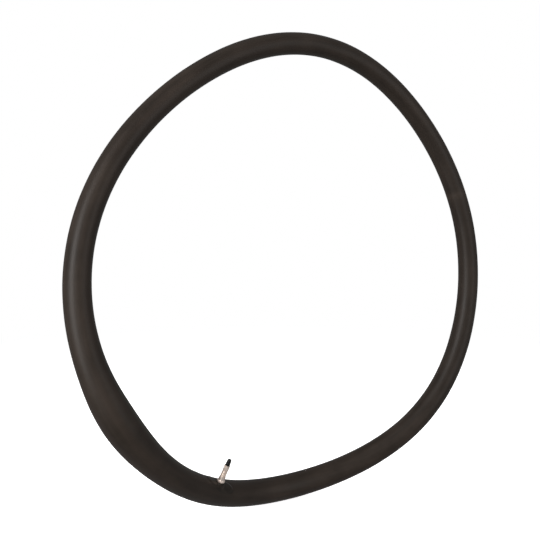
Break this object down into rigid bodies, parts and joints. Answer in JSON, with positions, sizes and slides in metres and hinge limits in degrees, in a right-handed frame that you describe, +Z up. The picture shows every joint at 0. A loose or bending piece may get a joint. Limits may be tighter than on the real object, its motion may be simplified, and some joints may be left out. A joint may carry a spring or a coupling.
{
  "type": "inner tube",
  "caption": "Inflated bicycle inner tube: a closed rubber ring with an 8 mm threaded valve, ball-check core held by a union nut, rim nut and dust cap.",
  "frame": {"origin": "centre of the ring, on the wheel's axis and in the wheel's middle plane", "axes": "+Y along the wheel's axis, away from the side the valve leans to; +Z up, with the valve at the bottom left, pointing inwards"},
  "size_m": [0.6836, 0.111, 0.6918],
  "materials": {
    "butyl_rubber": "matte",
    "moulded_rubber": "satin",
    "nickel_plate": "polished nickel plate",
    "seal_rubber": "satin",
    "black_plastic": "satin"
  },
  "bodies": {
    "ring": {"tube": "butyl_rubber", "valve_patch": "moulded_rubber", "valve_stem": "nickel_plate"},
    "rim_nut": {"rim_nut": "nickel_plate"},
    "core": {"core_body": "nickel_plate", "core_gasket": "seal_rubber"},
    "union_nut": {"union_nut": "nickel_plate"},
    "ball": {"check_ball": "seal_rubber"},
    "cap": {"dust_cap": "black_plastic"}
  },
  "joints": [
    {"name": "rim_nut_travel", "type": "slide", "parent": "ring", "child": "rim_nut", "axis": [0.2301, -0.3302, 0.9154], "range_m": [0, 0.01]},
    {"name": "core_removal", "type": "slide", "parent": "ring", "child": "core", "axis": [0.2301, -0.3302, 0.9154], "range_m": [0, 0.014]},
    {"name": "union_nut_turn", "type": "hinge", "parent": "core", "child": "union_nut", "pos_m": [-0.12155, -0.0057, -0.25784], "axis": [0.2301, -0.3302, 0.9154], "range_deg": [0, 900]},
    {"name": "ball_travel", "type": "slide", "parent": "core", "child": "ball", "axis": [-0.2301, 0.3302, -0.9154], "range_m": [0, 0.0011]},
    {"name": "cap_removal", "type": "slide", "parent": "core", "child": "cap", "axis": [0.2301, -0.3302, 0.9154], "range_m": [0, 0.014]}
  ]
}
